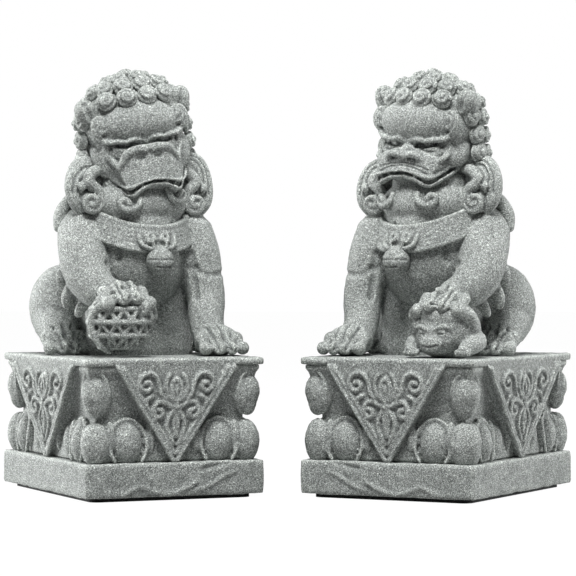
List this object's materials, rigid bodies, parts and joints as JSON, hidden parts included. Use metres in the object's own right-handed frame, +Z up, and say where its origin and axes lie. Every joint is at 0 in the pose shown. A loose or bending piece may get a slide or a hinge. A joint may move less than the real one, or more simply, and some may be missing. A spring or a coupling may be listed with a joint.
{
  "type": "pair of guardian lion figurines",
  "caption": "Seated guardian lions in cast stone on lotus plinths with cloth drapes: the male rests a paw on a pierced ball, the female on her cub. Each stands on a flat pad.",
  "frame": {"origin": "on the floor, midway between the two plinths", "axes": "+Z up; -Y is the side that the lions face; +X runs from the male towards the female"},
  "size_m": [0.1794, 0.0936, 0.1299],
  "materials": {
    "stone": "matte",
    "pad": "matte"
  },
  "bodies": {
    "male_lion": {"male_base_pad": "pad", "male_base_slab": "stone", "male_waist": "stone", "male_lower_petals": "stone", "male_upper_petals": "stone", "male_drapes": "stone", "male_top_slab": "stone", "male_torso": "stone", "male_right_hind_leg": "stone", "male_left_hind_leg": "stone", "male_right_foreleg": "stone", "male_left_foreleg": "stone", "male_ball": "stone", "male_head": "stone", "male_lower_jaw": "stone", "male_eyes": "stone", "male_ears": "stone", "male_crown_curls": "stone", "male_back_mane": "stone", "male_side_locks": "stone", "male_beard": "stone", "male_collar": "stone", "male_bell": "stone", "male_tail": "stone"},
    "female_lion": {"female_base_pad": "pad", "female_base_slab": "stone", "female_waist": "stone", "female_lower_petals": "stone", "female_upper_petals": "stone", "female_drapes": "stone", "female_top_slab": "stone", "female_torso": "stone", "female_left_hind_leg": "stone", "female_right_hind_leg": "stone", "female_left_foreleg": "stone", "female_right_foreleg": "stone", "female_cub": "stone", "female_head": "stone", "female_lower_jaw": "stone", "female_eyes": "stone", "female_ears": "stone", "female_crown_curls": "stone", "female_back_mane": "stone", "female_side_locks": "stone", "female_beard": "stone", "female_collar": "stone", "female_bell": "stone", "female_tail": "stone"}
  },
  "joints": [
    {"name": "female_set_back", "type": "slide", "parent": "male_lion", "child": "female_lion", "axis": [0, 1, 0], "range_m": [0, 0.1]}
  ]
}
